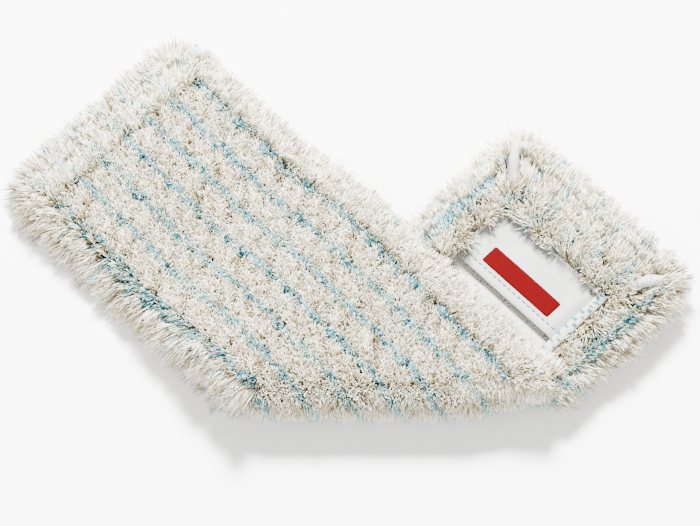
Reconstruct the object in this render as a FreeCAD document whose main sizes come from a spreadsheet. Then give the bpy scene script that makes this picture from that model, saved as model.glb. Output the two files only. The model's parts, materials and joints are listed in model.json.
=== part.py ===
import FreeCAD, Part
import math
import os
import Sketcher

# Slip-on textile cover of a flat mop, lying face up with one end folded under at 45 degrees.
# Both ends are the same cover, so both are drawn in one "end frame": u runs from the outer
# end inwards, v across the cover, h up from the underside that carries the pocket.

SIZES = {
    "cover_length": 472,     # flat length over the pile
    "cover_width": 160,      # width over the pile
    "layer_height": 20,      # one layer, underside pile tips to rim top
    "fold_run": 284,         # long end to the fold, along the middle
    "ramp_start": 120,       # the long end leaves the ground here
    "ramp_end": 200,         # and is level again here, on top of the short end
    "layer_gap": 1.2,        # air between the two layers
    "fold_gap": 0.5,         # each end stops this far short of the fold line
    "rim_reach": 17,         # pile beyond the edge of the ground cloth
    "end_roll": 33,          # raised roll on the face at each end
    "end_turn": 50,          # face fabric turned over to the back at each end
    "side_turn": 34,         # face fabric turned over to the back along each side
    "cloth_level": 7.6,      # underside of the ground cloth
    "cloth_thickness": 1.4,
    "face_level": 18.5,      # tips of the cream rows
    "blue_level": 17.5,      # tips of the blue rows
    "row_pitch": 20.25,      # blue row to blue row
    "blue_width": 4,
    "row_gap": 0.2,
    "edge_round": 6,
    "corner_round": 14,
    "binding_width": 2,
    "binding_height": 2.6,
    "strap_depth": 44,       # pocket strap, from the end binding to its mouth
    "strap_level": 1.6,      # outer face of the strap
    "strap_thickness": 0.8,
    "hem_depth": 9,
    "hem_thickness": 0.7,
    "notch_radius": 4,
    "notch_inset": 6,
    "stitch_length": 3,
    "stitch_pitch": 4.2,
    "stitch_width": 0.7,
    "stitch_height": 0.4,
    "stitch_inset": 6,       # stitch line to the strap's mouth
    "seam_length": 34,
    "seam_width": 5.8,
    "seam_height": 2.4,
    "seam_angle": 51,
    "seam_end": 25,          # middle of the corner seam, from the outer end
    "seam_side": 20,         # and from the outer side
    "label_length": 57,
    "label_width": 13,
    "label_thickness": 0.3,
    "label_inset": 15,       # middle of the label to the strap's mouth
    "fold_pile_reach": 18.5, # fold line to the pile tips around the fold
    "corner_reach": 4,       # pile of the fold's two corners beyond the cover's width
}
BLUE_ROWS = 7
STITCHES = 20

doc = FreeCAD.newDocument("MopCover")
sheet = doc.addObject("Spreadsheet::Sheet", "Sizes")
for line, (alias, number) in enumerate(SIZES.items(), start=1):
    sheet.set("A%d" % line, alias)
    sheet.set("B%d" % line, str(number))
    sheet.setAlias("B%d" % line, alias)
doc.recompute()


class Size:
    # a length with its formula, so that the same sum places a point and binds it to the sheet
    def __init__(self, value, formula):
        self.value = float(value)
        self.formula = formula

    def combine(self, other, sign, value):
        return Size(value, "(%s %s %s)" % (self.formula, sign, other.formula))

    def __add__(self, other):
        other = as_size(other)
        return self.combine(other, "+", self.value + other.value)

    def __sub__(self, other):
        other = as_size(other)
        return self.combine(other, "-", self.value - other.value)

    def __mul__(self, other):
        other = as_size(other)
        return self.combine(other, "*", self.value * other.value)

    def __truediv__(self, other):
        other = as_size(other)
        return self.combine(other, "/", self.value / other.value)

    def __neg__(self):
        return self * -1


def as_size(number):
    if isinstance(number, Size):
        return number
    return Size(number, "(%g)" % number)


def cell(alias):
    return Size(sheet.get(alias), "Sizes." + alias)


ZERO = as_size(0)
half_width = cell("cover_width") / 2
cloth_half = half_width - cell("rim_reach")
turn_inner = half_width - cell("side_turn")
layer_height = cell("layer_height")
cloth_low = cell("cloth_level")
cloth_high = cloth_low + cell("cloth_thickness")
rise = layer_height + cell("layer_gap")
fold_gap = cell("fold_gap")
row_gap = cell("row_gap")
short_run = cell("cover_length") - cell("fold_run")

# middle of the whole folded cover, so that the model's origin is the centre of its footprint
middle_x = (cell("fold_run") + half_width + cell("corner_reach")) / 2
middle_y = (short_run - half_width - cell("corner_reach")) / 2

ENDS = {
    "main": {
        "run": cell("fold_run"),
        "raised": True,
        "sides": {1: "rear", -1: "front"},
        "turn": FreeCAD.Rotation(),
        "origin": (-middle_x, -middle_y, ZERO),
    },
    "flap": {
        "run": short_run,
        "raised": False,
        "sides": {1: "left", -1: "right"},
        "turn": FreeCAD.Rotation(FreeCAD.Vector(1, -1, 0), 180),
        "origin": (cell("fold_run") - middle_x, short_run - middle_y, layer_height),
    },
}
pieces = []


def place(piece, turn, origin):
    piece.Placement = FreeCAD.Placement(FreeCAD.Vector(), turn)
    for letter, distance in zip("xyz", origin):
        piece.setExpression(".Placement.Base." + letter, distance.formula)


def new_body(label, end):
    body = doc.addObject("PartDesign::Body", label)
    body.Label = label
    body.AllowCompound = True
    place(body, ENDS[end]["turn"], ENDS[end]["origin"])
    pieces.append(body)
    return body


def new_sketch(body, role):
    sketch = body.newObject("Sketcher::SketchObject", body.Label + "_sketch")
    plane = [item for item in body.Origin.OriginFeatures if item.Role == role][0]
    sketch.AttachmentSupport = [(plane, "")]
    sketch.MapMode = "FlatFace"
    return sketch


def bind(sketch, kind, geometry, point, size):
    # ties one coordinate of a point to its formula
    index = sketch.addConstraint(Sketcher.Constraint(kind, -1, 1, geometry, point, size.value))
    sketch.setExpression("Constraints[%d]" % index, size.formula)


def draw_outline(sketch, corners):
    count = len(corners)
    start = sketch.GeometryCount
    for first, second in zip(corners, corners[1:] + corners[:1]):
        begin = FreeCAD.Vector(first[0].value, first[1].value, 0)
        finish = FreeCAD.Vector(second[0].value, second[1].value, 0)
        sketch.addGeometry(Part.LineSegment(begin, finish), False)
    for step in range(count):
        after = start + (step + 1) % count
        sketch.addConstraint(Sketcher.Constraint("Coincident", start + step, 2, after, 1))
    for step, (across, upward) in enumerate(corners):
        bind(sketch, "DistanceX", start + step, 1, across)
        bind(sketch, "DistanceY", start + step, 1, upward)


def rectangle(left, right, low, high):
    return [(left, low), (right, low), (right, high), (left, high)]


def pad_across(body, corners, low, high):
    # pads an outline drawn in u and h from v = low to v = high
    sketch = new_sketch(body, "XZ_Plane")
    draw_outline(sketch, corners)
    sketch.setExpression(".AttachmentOffset.Base.z", (-low).formula)
    pad = body.newObject("PartDesign::Pad", body.Label + "_pad")
    pad.Profile = sketch
    pad.setExpression("Length", (high - low).formula)
    pad.Reversed = True
    return pad


def pad_up(body, corners, low, high):
    # pads an outline drawn in u and v from h = low to h = high
    sketch = new_sketch(body, "XY_Plane")
    draw_outline(sketch, corners)
    sketch.setExpression(".AttachmentOffset.Base.z", low.formula)
    pad = body.newObject("PartDesign::Pad", body.Label + "_pad")
    pad.Profile = sketch
    pad.setExpression("Length", (high - low).formula)
    return pad


def cut_up(body, sketch, low, depth):
    # cuts a sketch drawn in u and v from h = low upwards, and proves that it cut something
    doc.recompute()
    before = body.Shape.Volume
    sketch.setExpression(".AttachmentOffset.Base.z", low.formula)
    pocket = body.newObject("PartDesign::Pocket", body.Label + "_pocket")
    pocket.Profile = sketch
    pocket.setExpression("Length", depth.formula)
    pocket.Reversed = True
    doc.recompute()
    if body.Shape.Volume > before - 0.01:
        raise RuntimeError(body.Label + ": a pocket cut nothing")
    return pocket


def profile(end, start, low, high):
    # side view of a layer: level, and on the long end also up the ramp and level again
    far = ENDS[end]["run"] + half_width
    if not ENDS[end]["raised"]:
        return rectangle(start, far, low, high)
    foot = cell("ramp_start")
    crest = cell("ramp_end")
    below = [(start, low), (foot, low), (crest, low + rise), (far, low + rise)]
    above = [(far, high + rise), (crest, high + rise), (foot, high), (start, high)]
    return below + above


def cut_at_fold(body, end):
    # the fold line crosses the cover at 45 degrees: u = run + v
    run = ENDS[end]["run"]
    outside = half_width + 1
    beyond = run + outside + 5
    sketch = new_sketch(body, "XY_Plane")
    corners = [
        (run - outside - fold_gap, -outside),
        (beyond, -outside),
        (beyond, outside),
        (run + outside - fold_gap, outside),
    ]
    draw_outline(sketch, corners)
    cut_up(body, sketch, ZERO, layer_height * 3)


def round_edges(body, radius, wanted):
    # fillets the edges of the body's own shape that the wanted function picks
    doc.recompute()
    tip = body.Tip
    names = []
    for number, edge in enumerate(tip.Shape.Edges, start=1):
        points = [vertex.Point for vertex in edge.Vertexes]
        if len(points) == 2 and wanted(points):
            names.append("Edge%d" % number)
    fillet = body.newObject("PartDesign::Fillet", body.Label + "_fillet")
    fillet.Base = (tip, names)
    fillet.setExpression("Radius", radius.formula)
    doc.recompute()
    return fillet


def make_layer(label, end, start, low, high, side_low, side_high):
    body = new_body(label, end)
    pad_across(body, profile(end, start, low, high), side_low, side_high)
    cut_at_fold(body, end)
    return body


def make_ground_cloth(end):
    start = cell("rim_reach")
    make_layer(end + "_ground_cloth", end, start, cloth_low, cloth_high, -cloth_half, cloth_half)


def make_pile_rows(end):
    # tufted yarn rows on the face: narrow blue rows with wide cream rows between them
    start = cell("end_roll") + row_gap
    low = cloth_high + row_gap
    first = -(BLUE_ROWS // 2)
    for number in range(BLUE_ROWS):
        middle = cell("row_pitch") * (first + number)
        side_low = middle - cell("blue_width") / 2
        side_high = middle + cell("blue_width") / 2
        label = "%s_blue_row_%d" % (end, number + 1)
        make_layer(label, end, start, low, cell("blue_level"), side_low, side_high)
        if number == BLUE_ROWS - 1:
            break
        label = "%s_cream_row_%d" % (end, number + 1)
        next_low = middle + cell("row_pitch") - cell("blue_width") / 2
        make_layer(label, end, start, low, cell("face_level"), side_high + row_gap, next_low - row_gap)


def make_side_rim(end, side):
    # pile along one side: an upper band on the face and a wide band turned over to the back
    body = new_body("%s_%s_rim" % (end, ENDS[end]["sides"][side]), end)
    outer = half_width
    inner = cloth_half + row_gap
    top_start = cell("end_roll") + row_gap
    back_start = cell("end_turn") + row_gap
    spans = [(inner, outer), (turn_inner, outer)]
    if side < 0:
        spans = [(-high, -low) for low, high in spans]
    split = cloth_low - row_gap
    pad_across(body, profile(end, back_start, ZERO, split), *spans[1])
    pad_across(body, profile(end, top_start, split, layer_height), *spans[0])
    cut_at_fold(body, end)

    def is_outer_edge(points):
        reached = all(abs(abs(point.y) - half_width.value) < 0.01 for point in points)
        long = abs(points[0].x - points[1].x) > 1
        above = [level(end, point) for point in points]
        top = all(abs(value - layer_height.value) < 0.01 for value in above)
        bottom = all(abs(value) < 0.01 for value in above)
        return reached and long and (top or bottom)

    round_edges(body, cell("edge_round"), is_outer_edge)


def level(end, point):
    # height of a point above the underside of its layer
    if not ENDS[end]["raised"]:
        return point.z
    foot = cell("ramp_start").value
    crest = cell("ramp_end").value
    share = min(max((point.x - foot) / (crest - foot), 0), 1)
    return point.z - share * rise.value


def seam_outline(side, length, width):
    # a thin rectangle along the mitre line of one corner
    angle = math.radians(sheet.get("seam_angle"))
    along = (math.sin(angle), -side * math.cos(angle))
    across = (-along[1], along[0])
    middle_u = cell("seam_end")
    middle_v = (half_width - cell("seam_side")) * side
    corners = []
    for step, shift in ((-1, -1), (1, -1), (1, 1), (-1, 1)):
        corner_u = middle_u + length * (step * along[0] / 2) + width * (shift * across[0] / 2)
        corner_v = middle_v + length * (step * along[1] / 2) + width * (shift * across[1] / 2)
        corners.append((corner_u, corner_v))
    return corners


def make_end_rim(end):
    # the roll at the outer end: it wraps round the edge of the ground cloth from face to back
    body = new_body(end + "_end_rim", end)
    edge = cell("rim_reach") - row_gap
    under = cloth_low - row_gap
    over = cloth_high + row_gap
    corners = [
        (ZERO, ZERO),
        (cell("end_turn"), ZERO),
        (cell("end_turn"), under),
        (edge, under),
        (edge, over),
        (cell("end_roll"), over),
        (cell("end_roll"), layer_height),
        (ZERO, layer_height),
    ]
    pad_across(body, corners, -half_width, half_width)

    def is_corner(points):
        outside = all(abs(point.x) < 0.01 for point in points)
        upright = abs(points[0].z - points[1].z) > 1
        return outside and upright

    round_edges(body, cell("corner_round"), is_corner)

    def is_outline(points):
        flat = abs(points[0].z - points[1].z) < 0.01
        limit = any(abs(points[0].z - value) < 0.01 for value in (0, layer_height.value))
        outside = all(point.x < 0.01 or abs(point.y) > half_width.value - 0.01 for point in points)
        return flat and limit and outside

    round_edges(body, cell("edge_round"), is_outline)
    for side in (1, -1):
        groove = new_sketch(body, "XY_Plane")
        room = row_gap * 2
        draw_outline(groove, seam_outline(side, cell("seam_length") + room, cell("seam_width") + room))
        cut_up(body, groove, ZERO, cell("seam_height") + row_gap)


def make_corner_seams(end):
    # white welts where the turned-over pile is mitred at the corners of the back
    for side, name in ENDS[end]["sides"].items():
        body = new_body("%s_%s_corner_seam" % (end, name), end)
        outline = seam_outline(side, cell("seam_length"), cell("seam_width"))
        pad_up(body, outline, row_gap, cell("seam_height"))
        doc.recompute()


def make_bindings(end):
    # overlocked edges of the turned-over pile, round the pocket strap
    high = cloth_low - row_gap
    low = high - cell("binding_height")
    outer = turn_inner - row_gap
    inner = outer - cell("binding_width")
    start = cell("end_turn") + row_gap
    for side, name in ENDS[end]["sides"].items():
        label = "%s_%s_binding" % (end, name)
        span = (inner, outer) if side > 0 else (-outer, -inner)
        make_layer(label, end, start, low, high, *span)
    body = new_body(end + "_end_binding", end)
    corners = rectangle(start, start + cell("binding_width"), low, high)
    limit = inner - row_gap
    pad_across(body, corners, -limit, limit)


def strap_box():
    # far edge, mouth and half width of the pocket strap, seen from below
    far = cell("end_turn") + cell("binding_width") + row_gap * 2
    mouth = far + cell("strap_depth")
    half = turn_inner - cell("binding_width") - row_gap * 2
    return far, mouth, half


def make_pocket_strap(end):
    # coated fabric sewn to the ground cloth on three sides, open towards the cover's middle
    body = new_body(end + "_pocket_strap", end)
    far, mouth, half = strap_box()
    skin = cell("strap_thickness")
    low = cell("strap_level")
    pad_up(body, rectangle(far, mouth, -half, half), low, cloth_low)
    room = new_sketch(body, "XY_Plane")
    draw_outline(room, rectangle(far + skin, mouth + 1, -(half - skin), half - skin))
    cut_up(body, room, low + skin, cloth_low - low)
    notches = new_sketch(body, "XY_Plane")
    for side in (1, -1):
        centre = (half - cell("notch_inset")) * side
        place_at = FreeCAD.Vector(far.value, centre.value, 0)
        circle = Part.Circle(place_at, FreeCAD.Vector(0, 0, 1), cell("notch_radius").value)
        index = notches.addGeometry(circle, False)
        bind(notches, "DistanceX", index, 3, far)
        bind(notches, "DistanceY", index, 3, centre)
        radius = notches.addConstraint(Sketcher.Constraint("Radius", index, circle.Radius))
        notches.setExpression("Constraints[%d]" % radius, "Sizes.notch_radius")
    cut_up(body, notches, low, skin)


def make_strap_hem(end):
    # the strap's mouth edge, folded back under itself
    body = new_body(end + "_strap_hem", end)
    far, mouth, half = strap_box()
    low = cell("strap_level") + cell("strap_thickness")
    inner = half - cell("strap_thickness") - row_gap
    pad_up(body, rectangle(mouth - cell("hem_depth"), mouth, -inner, inner), low, low + cell("hem_thickness"))


def make_hem_stitches(end):
    # one line of thread across the strap, each stitch its own little bar
    body = new_body(end + "_hem_stitches", end)
    far, mouth, half = strap_box()
    line_u = mouth - cell("stitch_inset")
    wide = cell("stitch_width")
    reach = cell("stitch_pitch") * (STITCHES - 1)
    first = -(reach / 2)
    corners = rectangle(line_u - wide / 2, line_u + wide / 2,
                        first - cell("stitch_length") / 2, first + cell("stitch_length") / 2)
    high = cell("strap_level")
    pad = pad_up(body, corners, high - cell("stitch_height"), high)
    doc.recompute()
    row = body.newObject("PartDesign::LinearPattern", body.Label + "_row")
    row.Originals = [pad]
    row.Direction = ([item for item in body.Origin.OriginFeatures if item.Role == "Y_Axis"][0], [""])
    row.Mode = "Extent"
    row.setExpression("Length", reach.formula)
    row.Occurrences = STITCHES
    body.Tip = row
    doc.recompute()


def make_label():
    # plain woven label on the folded end's strap
    body = new_body("flap_strap_label", "flap")
    far, mouth, half = strap_box()
    middle = mouth - cell("label_inset")
    length = cell("label_length")
    width = cell("label_width")
    corners = rectangle(middle - width / 2, middle + width / 2, -(length / 2), length / 2)
    high = cell("strap_level")
    label = pad_up(body, corners, high - cell("label_thickness"), high)
    return label


def make_fold_ring(label, inner, outer, reach):
    # half a tube round the fold line, trimmed to the cover's corners
    axis_level = layer_height + cell("layer_gap") / 2
    spread = reach * math.sqrt(2)
    turn = FreeCAD.Rotation(FreeCAD.Vector(0, 0, 1), 45).multiply(
        FreeCAD.Rotation(FreeCAD.Vector(0, 1, 0), 90))
    solids = []
    for radius in (outer, inner):
        tube = doc.addObject("Part::Cylinder", label + "_tube")
        tube.setExpression("Radius", radius.formula)
        tube.setExpression("Height", (spread * 2).formula)
        place(tube, turn, (cell("fold_run") - middle_x - reach, -middle_y - reach, axis_level))
        solids.append(tube)
    ring = doc.addObject("Part::Cut", label + "_ring")
    ring.Base, ring.Tool = solids
    # the block keeps only what lies outside the fold line and inside the corners' reach
    block = doc.addObject("PartDesign::Body", label + "_block")
    place(block, FreeCAD.Rotation(), (-middle_x, -middle_y, ZERO))
    run = cell("fold_run")
    limit = half_width + cell("corner_reach")
    edge = reach if reach.value < limit.value - 10 else limit
    sketch = new_sketch(block, "XY_Plane")
    corners = [
        (run - edge, -edge),
        (run + edge, -edge),
        (run + edge, edge),
    ]
    draw_outline(sketch, corners)
    pad = block.newObject("PartDesign::Pad", label + "_block_pad")
    pad.Profile = sketch
    pad.setExpression("Length", (layer_height * 3).formula)
    kept = doc.addObject("Part::Common", label)
    kept.Base = ring
    kept.Tool = block
    kept.Label = label
    pieces.append(kept)


def make_fold():
    axis_level = layer_height + cell("layer_gap") / 2
    cloth_inner = cloth_low + rise - axis_level
    cloth_outer = cloth_high + rise - axis_level
    make_fold_ring("fold_ground_cloth", cloth_inner, cloth_outer, cloth_half)
    make_fold_ring("fold_pile", cloth_outer + row_gap, cell("fold_pile_reach"), half_width)


for end_name in ENDS:
    make_ground_cloth(end_name)
    make_pile_rows(end_name)
    make_end_rim(end_name)
    for side_sign in (1, -1):
        make_side_rim(end_name, side_sign)
    make_corner_seams(end_name)
    make_bindings(end_name)
    make_pocket_strap(end_name)
    make_strap_hem(end_name)
    make_hem_stitches(end_name)
make_label()
make_fold()
doc.recompute()

for item in doc.Objects:
    if "Invalid" in item.State or "Error" in item.State:
        raise RuntimeError(item.Label + " failed: " + str(item.State))
whole = FreeCAD.BoundBox()
for piece in pieces:
    shape = piece.Shape
    if shape.isNull() or not shape.isValid() or not shape.Solids:
        raise RuntimeError(piece.Label + " has no valid solid")
    whole.add(shape.BoundBox)
print("pieces", len(pieces), "box", whole)

os.makedirs("parts", exist_ok=True)
for piece in pieces:
    piece.Shape.exportStep("parts/%s.step" % piece.Label)
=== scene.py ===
import json
import math

import bpy
import numpy as np
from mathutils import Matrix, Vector


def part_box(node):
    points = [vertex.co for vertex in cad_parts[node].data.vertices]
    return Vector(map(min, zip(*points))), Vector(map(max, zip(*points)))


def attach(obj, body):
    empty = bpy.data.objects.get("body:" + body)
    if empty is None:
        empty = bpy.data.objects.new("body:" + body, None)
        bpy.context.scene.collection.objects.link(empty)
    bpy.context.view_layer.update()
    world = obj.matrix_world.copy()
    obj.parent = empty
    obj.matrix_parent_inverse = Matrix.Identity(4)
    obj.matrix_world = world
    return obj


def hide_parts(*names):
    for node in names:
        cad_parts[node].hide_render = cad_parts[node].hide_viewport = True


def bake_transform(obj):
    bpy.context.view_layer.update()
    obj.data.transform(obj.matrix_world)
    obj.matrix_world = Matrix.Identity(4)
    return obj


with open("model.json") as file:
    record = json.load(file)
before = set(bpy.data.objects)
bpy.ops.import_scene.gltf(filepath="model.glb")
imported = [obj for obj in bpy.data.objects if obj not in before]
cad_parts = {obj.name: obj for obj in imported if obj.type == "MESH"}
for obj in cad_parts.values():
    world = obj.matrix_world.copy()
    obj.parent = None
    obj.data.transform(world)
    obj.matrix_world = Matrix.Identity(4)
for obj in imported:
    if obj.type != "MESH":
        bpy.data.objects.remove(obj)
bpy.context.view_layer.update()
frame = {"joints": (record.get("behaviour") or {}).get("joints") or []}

mm = 0.001
scene = bpy.context.scene

# ---- where the cover lies: everything is read from the frame ----
# Each end is worked in its own flat frame: u in from the outer end, v across, h up from the pocket side.

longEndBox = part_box("main_end_rim")
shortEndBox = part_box("flap_end_rim")
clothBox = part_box("main_ground_cloth")
leftX = longEndBox[0].x
midY = (longEndBox[0].y + longEndBox[1].y) / 2
flapX = (shortEndBox[0].x + shortEndBox[1].x) / 2
farY = shortEndBox[1].y
layerHeight = shortEndBox[1].z
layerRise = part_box("main_rear_rim")[1].z - layerHeight
halfCover = (longEndBox[1].y - longEndBox[0].y) / 2
halfCloth = (clothBox[1].y - clothBox[0].y) / 2
clothLow = clothBox[0].z
clothHigh = clothBox[1].z - layerRise
endTurn = longEndBox[1].x - longEndBox[0].x
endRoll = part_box("main_blue_row_4")[0].x - leftX
turnInner = halfCover - (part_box("flap_left_rim")[1].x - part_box("flap_left_rim")[0].x)
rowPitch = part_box("main_blue_row_5")[0].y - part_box("main_blue_row_4")[0].y
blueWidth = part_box("main_blue_row_4")[1].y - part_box("main_blue_row_4")[0].y
foldLevel = frame["joints"][0]["pos_m"][2]
runs = {"main": flapX - leftX, "flap": farY - midY}

drape = {
    "rampFrom": 105 * mm,  # the long end starts to climb onto the folded end
    "rampTo": 205 * mm,
    "floorSkim": 0.4 * mm,  # fibres lie this far above the floor
    "overFold": 1.8 * mm,  # the pile leans at most this far over the fold
}


def smooth(share):
    share = np.clip(share, 0, 1)
    return share * share * (3 - 2 * share)


def toRow(end, points):  # from an end's flat frame to the row frame
    u, v, h = points[..., 0], points[..., 1], points[..., 2]
    if end == "main":
        climb = smooth((u - drape["rampFrom"]) / (drape["rampTo"] - drape["rampFrom"]))
        placed = np.stack([leftX + u, midY + v, h + climb * layerRise], -1)
    else:
        placed = np.stack([flapX - v, farY - u, layerHeight - h], -1)
    placed[..., 2] = np.maximum(placed[..., 2], drape["floorSkim"])
    return placed


def softNoise(x, y, size, seed):  # smooth value from about -1 to 1 that changes over size
    angle = seed * 1.7
    a = np.sin(x / size * 2.1 + 1.3 * np.sin(y / size * 1.7 + seed) + angle)
    b = np.sin(y / size * 2.6 + 1.1 * np.sin(x / size * 1.9 - seed) - angle)
    c = np.sin((x + y) / size * 1.3 + seed * 2.3)
    return (a + b + c) / 3


# ---- shader groups ----

def newGroup(name, inputs, outputs):
    tree = bpy.data.node_groups.new(name, "ShaderNodeTree")
    for label, kind, value in inputs:
        socket = tree.interface.new_socket(label, in_out="INPUT", socket_type=kind)
        if value is not None:
            socket.default_value = value
    for label, kind in outputs:
        tree.interface.new_socket(label, in_out="OUTPUT", socket_type=kind)
    return tree, tree.nodes.new("NodeGroupInput"), tree.nodes.new("NodeGroupOutput")


def mathNode(tree, operation, first, second=None):
    node = tree.nodes.new("ShaderNodeMath")
    node.operation = operation
    for socket, value in zip(node.inputs, (first, second)):
        if value is None:
            continue
        if isinstance(value, bpy.types.NodeSocket):
            tree.links.new(value, socket)
        else:
            socket.default_value = value
    return node.outputs[0]


def mixColors(tree, share, first, second, blend="MIX"):
    node = tree.nodes.new("ShaderNodeMix")
    node.data_type = "RGBA"
    node.blend_type = blend
    for socket, value in zip((node.inputs[0], node.inputs[6], node.inputs[7]), (share, first, second)):
        if isinstance(value, bpy.types.NodeSocket):
            tree.links.new(value, socket)
        else:
            socket.default_value = value
    return node.outputs[2]


def splitAxes(tree, vector):
    node = tree.nodes.new("ShaderNodeSeparateXYZ")
    tree.links.new(vector, node.inputs[0])
    return node.outputs


def noiseNode(tree, vector, scale, detail=2.0):
    node = tree.nodes.new("ShaderNodeTexNoise")
    node.inputs["Scale"].default_value = scale
    node.inputs["Detail"].default_value = detail
    tree.links.new(vector, node.inputs["Vector"])
    return node.outputs["Fac"]


def buildYarnGroup():  # fibre colour: the darker root colour is painted shade deep in the pile, paling to the tip; each fibre its own tone
    tree, given, result = newGroup(
        "yarnShade",
        [("Root Shade Color", "NodeSocketColor", None), ("Tip Color", "NodeSocketColor", None),
         ("Deep Color", "NodeSocketColor", None), ("Along", "NodeSocketFloat", 0.5),
         ("Tint", "NodeSocketFloat", 0.5), ("Place", "NodeSocketVector", None)],
        [("Color", "NodeSocketColor")])
    links = tree.links
    # the root end takes the painted shade colour, the tip the yarn's own pale colour
    reach = mathNode(tree, "POWER", given.outputs["Along"], 0.95)
    base = mixColors(tree, reach, given.outputs["Root Shade Color"], given.outputs["Tip Color"])
    tone = mathNode(tree, "MULTIPLY", mathNode(tree, "POWER", given.outputs["Tint"], 2.0), 1.0)
    toned = mixColors(tree, tone, base, given.outputs["Deep Color"])
    patch = mathNode(tree, "MULTIPLY", noiseNode(tree, given.outputs["Place"], 42.0, 3.0), 0.22)
    links.new(mixColors(tree, patch, toned, given.outputs["Deep Color"]), result.inputs["Color"])
    return tree


def buildKnitGroup():  # knitted ground: ribs along the cover and small loops across
    tree, given, result = newGroup(
        "knitGround",
        [("Across", "NodeSocketFloat", 0.0), ("Lengthways", "NodeSocketFloat", 0.0),
         ("Rib Pitch", "NodeSocketFloat", 0.0016), ("Place", "NodeSocketVector", None)],
        [("Height", "NodeSocketFloat"), ("Wear", "NodeSocketFloat")])
    rib = mathNode(tree, "DIVIDE", given.outputs["Across"], given.outputs["Rib Pitch"])
    loop = mathNode(tree, "DIVIDE", given.outputs["Lengthways"], given.outputs["Rib Pitch"])
    ribWave = mathNode(tree, "ABSOLUTE", mathNode(tree, "SINE", mathNode(tree, "MULTIPLY", rib, math.pi)))
    slant = mathNode(tree, "ADD", mathNode(tree, "MULTIPLY", loop, 1.4 * math.pi),
                     mathNode(tree, "MULTIPLY", ribWave, 1.6))
    loopWave = mathNode(tree, "ABSOLUTE", mathNode(tree, "SINE", slant))
    height = mathNode(tree, "ADD", mathNode(tree, "MULTIPLY", ribWave, 0.6),
                      mathNode(tree, "MULTIPLY", loopWave, 0.4))
    tree.links.new(height, result.inputs["Height"])
    tree.links.new(noiseNode(tree, given.outputs["Place"], 160.0, 4.0), result.inputs["Wear"])
    return tree


def buildWeaveGroup():  # fine plain weave under a thin coating
    tree, given, result = newGroup(
        "fineWeave",
        [("Place", "NodeSocketVector", None), ("Thread Pitch", "NodeSocketFloat", 0.0006)],
        [("Height", "NodeSocketFloat"), ("Cloud", "NodeSocketFloat")])
    axes = splitAxes(tree, given.outputs["Place"])
    waves = []
    for axis in ("X", "Y"):
        turns = mathNode(tree, "DIVIDE", axes[axis], given.outputs["Thread Pitch"])
        waves.append(mathNode(tree, "SINE", mathNode(tree, "MULTIPLY", turns, math.pi)))
    tree.links.new(mathNode(tree, "MULTIPLY", waves[0], waves[1]), result.inputs["Height"])
    tree.links.new(noiseNode(tree, given.outputs["Place"], 35.0, 3.0), result.inputs["Cloud"])
    return tree


def buildTwistGroup():  # ply of a sewing thread
    tree, given, result = newGroup(
        "threadTwist",
        [("Place", "NodeSocketVector", None), ("Ply Pitch", "NodeSocketFloat", 0.0009)],
        [("Height", "NodeSocketFloat"), ("Fuzz", "NodeSocketFloat")])
    axes = splitAxes(tree, given.outputs["Place"])
    run = mathNode(tree, "ADD", axes["X"], axes["Y"])
    run = mathNode(tree, "ADD", run, mathNode(tree, "MULTIPLY", axes["Z"], 1.5))
    turns = mathNode(tree, "DIVIDE", run, given.outputs["Ply Pitch"])
    tree.links.new(mathNode(tree, "SINE", mathNode(tree, "MULTIPLY", turns, 2 * math.pi)),
                   result.inputs["Height"])
    tree.links.new(noiseNode(tree, given.outputs["Place"], 900.0, 2.0), result.inputs["Fuzz"])
    return tree


groups = {
    "yarn": buildYarnGroup(),
    "knit": buildKnitGroup(),
    "weave": buildWeaveGroup(),
    "twist": buildTwistGroup(),
}


# ---- materials ----

def newMaterial(name, roughness, sheen):
    material = bpy.data.materials.new(name)
    material.use_nodes = True
    tree = material.node_tree
    shader = tree.nodes["Principled BSDF"]
    shader.inputs["Roughness"].default_value = roughness
    shader.inputs["Sheen Weight"].default_value = sheen
    shader.inputs["Specular IOR Level"].default_value = 0.3
    return material, tree, shader


def addGroup(tree, kind):
    node = tree.nodes.new("ShaderNodeGroup")
    node.node_tree = groups[kind]
    return node


def objectPlace(tree):
    return tree.nodes.new("ShaderNodeTexCoord").outputs["Object"]


def attributeValue(tree, name):
    node = tree.nodes.new("ShaderNodeAttribute")
    node.attribute_name = name
    return node.outputs["Fac"]


def addBump(tree, shader, height, strength, distance):
    bump = tree.nodes.new("ShaderNodeBump")
    bump.inputs["Strength"].default_value = strength
    bump.inputs["Distance"].default_value = distance
    tree.links.new(height, bump.inputs["Height"])
    tree.links.new(bump.outputs["Normal"], shader.inputs["Normal"])


# root: painted shade at the foot of the fibres, darker than the yarn itself
yarnColors = {
    "creamYarn": {
        "root": (0.38, 0.30, 0.155, 1),
        "tip": (0.965, 0.942, 0.805, 1),
        "deep": (0.27, 0.20, 0.075, 1),
    },
    "blueYarn": {
        "root": (0.005, 0.09, 0.11, 1),
        "tip": (0.20, 0.55, 0.61, 1),
        "deep": (0.005, 0.09, 0.12, 1),
    },
}


def makeYarnMaterial(name):
    material, tree, shader = newMaterial(name, 0.42, 0.0)
    shader.inputs["Specular IOR Level"].default_value = 0.7
    group = addGroup(tree, "yarn")
    colors = yarnColors[name]
    for label, key in (("Root Shade Color", "root"), ("Tip Color", "tip"), ("Deep Color", "deep")):
        group.inputs[label].default_value = colors[key]
    tree.links.new(attributeValue(tree, "along"), group.inputs["Along"])
    tree.links.new(attributeValue(tree, "tint"), group.inputs["Tint"])
    tree.links.new(objectPlace(tree), group.inputs["Place"])
    tree.links.new(group.outputs["Color"], shader.inputs["Base Color"])
    return material


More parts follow.
